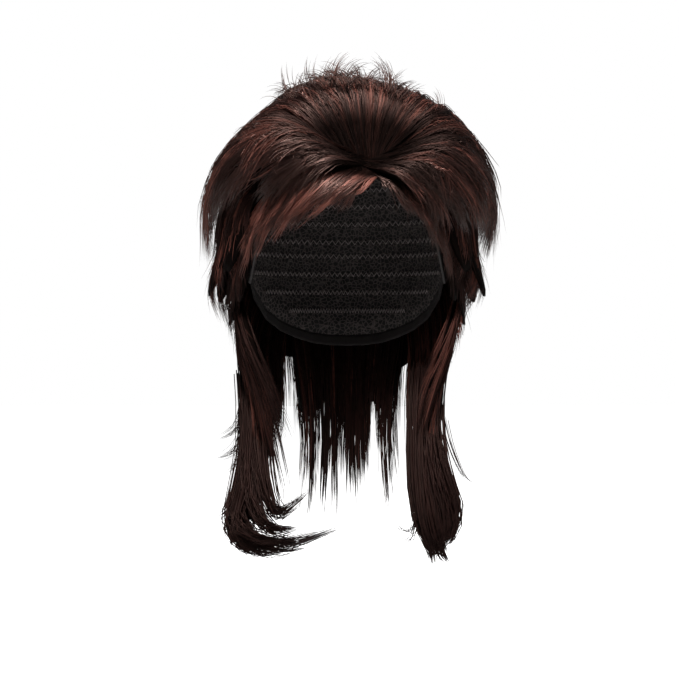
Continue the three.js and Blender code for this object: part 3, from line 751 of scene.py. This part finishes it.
# The short rows over the forehead part below the whorl. One sweeps to the right, fine enough to see through
# at its ends, and one frames the forehead on the left.
FRINGE = [
    (14, 0.66, -8, 0.82, -0.04, 0.15, 0.3, 0.5, 0.3, 0),
    (3, 0.64, -22, 0.88, -0.06, 0.15, 0.35, 0.55, 0.3, 0),
    (-9, 0.63, -35, 0.92, -0.07, 0.15, 0.45, 0.6, 0.3, 0),
    (-22, 0.64, -46, 0.97, -0.07, 0.15, 0.6, 0.6, 0.3, 0),
    (-38, 0.68, -56, 1.02, -0.06, 0.15, 0.6, 0.6, 0.3, 0),
]
TEMPLE = [
    (21, 0.66, 33, 0.84, 0.08, 0.15, 0.3, 0.5, 0.3, 0),
    (32, 0.67, 46, 0.96, 0.08, 0.15, 0.4, 0.55, 0.3, 0),
    (44, 0.7, 56, 1.06, 0.06, 0.15, 0.5, 0.6, 0.3, 0),
]
# The fringe's copy of the fibre is duller, which dims its highlights, and its painted root shade ends
# sooner down its length.
fringe_fibre = hair_material("fringe_fibre", 0.42, 0.32, shaded=(0.06, 0.34))
# The fringe's high tone range is partly painted light; its spread is the fibre's own.
hair_row(
    "fringe", FRINGE, 1250, 7, material=fringe_fibre, shade_body_reach=0.5, tucked=0.3, begins=(-0.2, 0.3),
    reach=(1, 1.4), short=0.3, tone=(62, 127), wave=0.007,
)
# The temple's low tone range is painted shade.
hair_row("temple", TEMPLE, 700, 8, shade_body_reach=0.5, tucked=0.3, reach=(0.95, 1.25), tone=(10, 76))

# The middle rows give the sides and the back their fullness.
SIDE_MIDDLE = [
    (52, 0.64, 70, 1.1, 0.05, 0.85, 1.3, 0.8, 0.3, 0),
    (68, 0.62, 84, 1.17, 0.04, 1, 2.5, 1.1, 0.3, 0),
    (85, 0.62, 98, 1.18, 0.03, 1, 2.8, 1.1, 0.3, 0),
    (102, 0.62, 111, 1.2, 0, 1, 2.7, 1.1, 0.3, 0),
]
BACK_MIDDLE = back_row(116, 6, 0.55, 1.3, 1.5, 2.4, 0.8, 0.3)
hair_row("back_middle", BACK_MIDDLE, 1100, 9, **BACK_LOOK)
# The low top of the middle side rows' tone range is painted shade.
SIDE_LOOK = {
    "tone": (14, 106), "gather": 0.8, "shade_body_reach": 0.92, "reach": (0.96, 1.16), "material": painted_shade_fibre,
}
hair_row("side_middle_left", SIDE_MIDDLE, 1000, 10, flip=(-0.022, -0.004), **SIDE_LOOK)
hair_row("side_middle_right", mirrored(SIDE_MIDDLE), 1000, 11, flip=(-0.014, -0.001), **SIDE_LOOK)

# The top rows are the ones that show most. They are combed to each side and down the back from the whorl
# over the forehead and from the crown.
SIDE_TOP_LEFT = [
    (16, 0.62, 56, 0.9, 0.06, 1.1, 1.5, 1.2, 0.3, 0),
    (21, 0.6, 71, 0.97, 0.05, 2.2, 2.8, 1.6, 0.3, 0),
    (27, 0.57, 86, 0.95, 0.04, 2.5, 3, 1.7, 0.3, 0),
    (33, 0.53, 101, 0.96, 0.02, 2.6, 2.9, 1.7, 0.3, 0),
    (39, 0.48, 116, 0.96, 0, 2.7, 2.7, 1.6, 0.3, 0),
]
SIDE_TOP_RIGHT = [
    (7, 0.6, -46, 0.83, -0.05, 0.95, 1.4, 1.2, 0.3, 0),
    (1, 0.565, -64, 0.9, -0.06, 2, 2.4, 1.6, 0.3, 0),
    (-5, 0.525, -79, 0.93, -0.05, 2.4, 2.8, 1.6, 0.3, 0),
    (-10, 0.48, -95, 0.93, -0.03, 2.4, 2.5, 1.3, 0.3, 0),
    (-14, 0.43, -112, 0.94, 0, 2, 2.3, 1, 0.3, 0),
]
BACK_TOP = back_row(124, 6, 0.2, 0.98, 2.4, 3, 1.3, 0.14)
hair_row("back_top", BACK_TOP, 1900, 12, begins=(-0.14, 0.4), **BACK_LOOK)
# The top of the side top rows' tone range is lowered a little, as painted shade.
SIDE_TOP_LOOK = {
    "tone": (6, 100), "begins": (-0.14, 0.4), "shade_body_reach": 0.7, "gather": 0.8, "loose": 0.0045, "wave": 0.009,
}
hair_row(
    "side_top_left", SIDE_TOP_LEFT, 2800, 13, flip=(-0.01, 0.002), reach=(0.85, 1.3), **SIDE_TOP_LOOK
)
hair_row(
    "side_top_right", SIDE_TOP_RIGHT, 2800, 14, flip=(-0.009, 0.002), reach=(0.85, 1.24), **SIDE_TOP_LOOK
)

# The tuft is combed up and back from the whorl over the crown, and holds the wig's highest strands.
TOP_TUFT = [
    (-7, 0.49, -118, 0.64, 0, 2.2, 2.4, 1.2, 0.35, 0),
    (1, 0.47, -137, 0.53, 0, 2.1, 2.7, 1.3, 0.35, 0),
    (10, 0.46, -160, 0.38, 0, 2.1, 3.1, 1.4, 0.35, 0),
    (19, 0.46, -197, 0.36, 0, 2.1, 3.3, 1.4, 0.35, 0),
    (27, 0.47, -220, 0.53, 0, 2.3, 3.5, 1.4, 0.35, 0),
    (33, 0.5, -242, 0.67, 0, 2.6, 3.8, 1.4, 0.35, 0),
]
CURL_TONES = (16, 110)
# The curls' V lies part way into the painted root shade of the tuft's fibre, which about halves their tone.
CURL_SHARE = 0.22
CURL_WIDTH = 0.0006
CURL_LENGTHS = (0.018, 0.034)
CURL_MIDDLE = 0.003
CURL_SPREAD = 0.03
CURL_DEPTHS = (-0.05, -0.02)
CURL_LEAN = 0.25
CURL_FAN = 14
CURL_BACKWARD = 0.4
CLUMP_SPREAD = 0.0022
TUFT_HEIGHT = 0.019
TUFT_ROUNDING = 6.5


def curls(clumps, per_clump, seed, turn):
    """Strands that stand up over the crown in clumps. Turn is how far they curl over, in radians: little
    for spikes, and far for loops."""
    rng = np.random.default_rng(seed)
    count = clumps * per_clump
    steps = np.linspace(0, 1, STRAND_POINTS)[None]
    clump_across = np.repeat(rng.normal(CURL_MIDDLE, CURL_SPREAD, clumps), per_clump)[:, None]
    clump_ahead = np.repeat(rng.uniform(*CURL_DEPTHS, clumps), per_clump)[:, None]
    clump_lean = np.repeat(rng.normal(0, CURL_LEAN, clumps), per_clump)[:, None]
    clump_turn = np.repeat(rng.choice([-1, 1], clumps) * rng.uniform(*turn, clumps), per_clump)[:, None]
    clump_length = np.repeat(rng.uniform(*CURL_LENGTHS, clumps), per_clump)[:, None]
    across = clump_across + rng.normal(0, CLUMP_SPREAD, (count, 1))
    length = clump_length * rng.uniform(0.7, 1, (count, 1))
    turning = clump_turn * rng.uniform(0.75, 1.25, (count, 1))
    leaning = clump_across * CURL_FAN + clump_lean + rng.normal(0, 0.07, (count, 1))
    heading = leaning + turning * steps**1.5
    stride = length / (STRAND_POINTS - 1)
    x = across + np.cumsum(np.sin(heading), axis=1) * stride
    z = TUFT_HEIGHT - TUFT_ROUNDING * across**2 + np.cumsum(np.cos(heading), axis=1) * stride
    y = clump_ahead + rng.normal(0, 0.002, (count, 1)) + CURL_BACKWARD * length * steps
    points = np.stack([x, y, z], -1)
    outs = np.broadcast_to(np.array([0.0, -1.0, 0.0]), points.shape)
    widths = CURL_WIDTH * rng.uniform(0.6, 1.2, (count, 1)) * np.clip(1.1 - steps**2, 0.3, 1)
    tones = rng.integers(*CURL_TONES, count)
    return strand_mesh(points, outs, widths, tones, np.full(widths.shape, CURL_SHARE))


TUFT_SPIKES = curls(34, 9, 41, turn=(0.3, 2))
TUFT_LOOPS = curls(30, 3, 42, turn=(2.5, 5))
# The tuft's copy of the fibre shines more, a lit copy that catches brighter highlights, and its painted
# root shade stays dark further out, which darkens the whorl.
tuft_fibre = hair_material("tuft_fibre", 0.32, 0.6, shaded=(0.11, 0.34))
# The tuft's high tone range is partly painted light, where the top is lit; its spread is the fibre's own.
hair_row(
    "top_tuft", TOP_TUFT, 2700, 15, extra=[TUFT_SPIKES, TUFT_LOOPS], material=tuft_fibre, tucked=0.15,
    clumps=12, begins=(-0.2, 0.45), wave=0.01, flip=(-0.022, -0.004), tone=(8, 127), gather=0.4,
    reach=(0.96, 1.25), notch=0.1, loose=0.004,
)

# The wig is shown from the front over a pale floor, with nothing in its cap, in soft white light.
VIEW_DISTANCE = 1.7
VIEW_HEIGHT = -0.163
VIEW_ASIDE = -0.0056
VIEW_LENS = 120.2
VIEW_SENSOR = 36
LEVEL_VIEW = (math.pi / 2, 0, 0)
FLOOR_HEIGHT = -0.39
FLOOR_SIZE = 12
FLOOR_GLOW = 1.0
FLOOR_GREY = (0.9, 0.9, 0.9, 1)
WHITE = (1, 1, 1, 1)

bpy.ops.object.camera_add(location=(VIEW_ASIDE, -VIEW_DISTANCE, VIEW_HEIGHT), rotation=LEVEL_VIEW)
camera = bpy.context.object
camera.data.lens = VIEW_LENS
camera.data.sensor_width = VIEW_SENSOR
bpy.context.scene.camera = camera

bpy.ops.mesh.primitive_plane_add(size=FLOOR_SIZE, location=(0, 0, FLOOR_HEIGHT))
floor = bpy.context.object
floor.name = "floor"
floor_material, floor_tree, floor_shader = new_material("pale_floor", 0.9, 0.2)
floor_shader.inputs["Base Color"].default_value = FLOOR_GREY
floor_shader.inputs["Emission Color"].default_value = WHITE
floor_seen = floor_tree.nodes.new("ShaderNodeLightPath")
floor_glow = floor_tree.nodes.new("ShaderNodeMath")
floor_glow.operation = "MULTIPLY"
floor_glow.inputs[1].default_value = FLOOR_GLOW
floor_tree.links.new(floor_seen.outputs["Is Camera Ray"], floor_glow.inputs[0])
floor_tree.links.new(floor_glow.outputs["Value"], floor_shader.inputs["Emission Strength"])
floor.data.materials.append(floor_material)


def soft_light(name, place, size, power):
    """A square light that faces the middle of the cap."""
    bpy.ops.object.light_add(type="AREA", location=place)
    light = bpy.context.object
    light.name = name
    light.data.shape = "SQUARE"
    light.data.size = size
    light.data.energy = power
    aim = CAP_MIDDLE - Vector(place)
    light.rotation_euler = aim.to_track_quat("-Z", "Y").to_euler()


soft_light("top_light", (0.0, -0.75, 1.5), 0.4, 60)
soft_light("left_light", (1.4, -1.2, 0.5), 0.9, 3)
soft_light("right_light", (-1.5, -1.0, 0.4), 0.9, 3)
soft_light("back_light", (-0.4, 1.6, 1.0), 1.0, 10)

# The crown has a narrow light of its own, from above the front.
CROWN_POWER = 380
CROWN_BEAM = math.radians(15)
CROWN_LIGHT_SIZE = 0.12
CROWN_LIGHT_PLACE = Vector((0, -1.2, 1.3))
CROWN_MIDDLE = Vector((0, -0.06, -0.02))

bpy.ops.object.light_add(type="SPOT", location=CROWN_LIGHT_PLACE)
crown_light = bpy.context.object
crown_light.name = "crown_light"
crown_light.data.energy = CROWN_POWER
crown_light.data.spot_size = CROWN_BEAM
crown_light.data.spot_blend = 1
crown_light.data.shadow_soft_size = CROWN_LIGHT_SIZE
crown_aim = CROWN_MIDDLE - CROWN_LIGHT_PLACE
crown_light.rotation_euler = crown_aim.to_track_quat("-Z", "Y").to_euler()

# The room is white to the eye, and lights the hair only weakly.
ROOM_LIGHT = 0.09
ROOM_BRIGHTNESS = 1.0

world = bpy.data.worlds.new("white_room")
world.use_nodes = True
room = world.node_tree
seen = room.nodes.new("ShaderNodeLightPath")
strength = room.nodes.new("ShaderNodeMapRange")
strength.inputs["To Min"].default_value = ROOM_LIGHT
strength.inputs["To Max"].default_value = ROOM_BRIGHTNESS
room.nodes["Background"].inputs["Color"].default_value = WHITE
room.links.new(seen.outputs["Is Camera Ray"], strength.inputs["Value"])
room.links.new(strength.outputs["Result"], room.nodes["Background"].inputs["Strength"])
bpy.context.scene.world = world
bpy.context.scene.view_settings.view_transform = "Standard"
